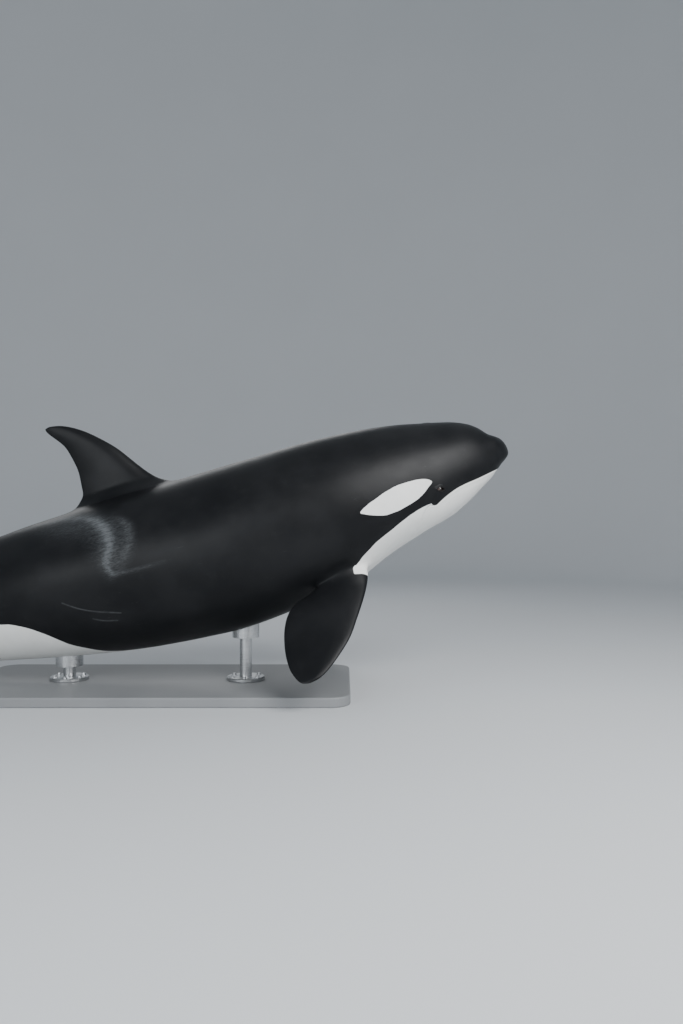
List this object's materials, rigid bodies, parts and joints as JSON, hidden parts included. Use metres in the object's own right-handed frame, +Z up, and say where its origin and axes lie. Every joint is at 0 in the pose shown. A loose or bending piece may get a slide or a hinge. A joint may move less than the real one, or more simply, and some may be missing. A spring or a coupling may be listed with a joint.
{
  "type": "orca display model",
  "caption": "Life-size still orca swimming nose-up, with dorsal fin, flippers and flukes, held over a flat display base by two short rods.",
  "frame": {"origin": "centre of the underside of the stand's base, on the floor", "axes": "+X towards the way the animal swims, +Y to its left, +Z up"},
  "size_m": [5.582, 1.5274, 1.695],
  "materials": {
    "skin": "smooth satin skin, black with white throat, belly, flank lobes and eye patches",
    "eye": "wet gloss",
    "stand_base": "matt grey paint",
    "stand_steel": "brushed"
  },
  "bodies": {
    "root": {"head": "skin", "lower_jaw": "skin", "thorax": "skin", "abdomen": "skin", "tail_stock": "skin", "dorsal_fin": "skin", "flipper_left": "skin", "flipper_right": "skin", "fluke_left": "skin", "fluke_right": "skin", "eye_left": "eye", "eye_right": "eye", "stand_base": "stand_base", "stand_rod_front": "stand_steel", "stand_rod_rear": "stand_steel", "stand_foot_front": "stand_steel", "stand_foot_rear": "stand_steel", "stand_cup_front": "stand_steel", "stand_cup_rear": "stand_steel"}
  },
  "joints": []
}
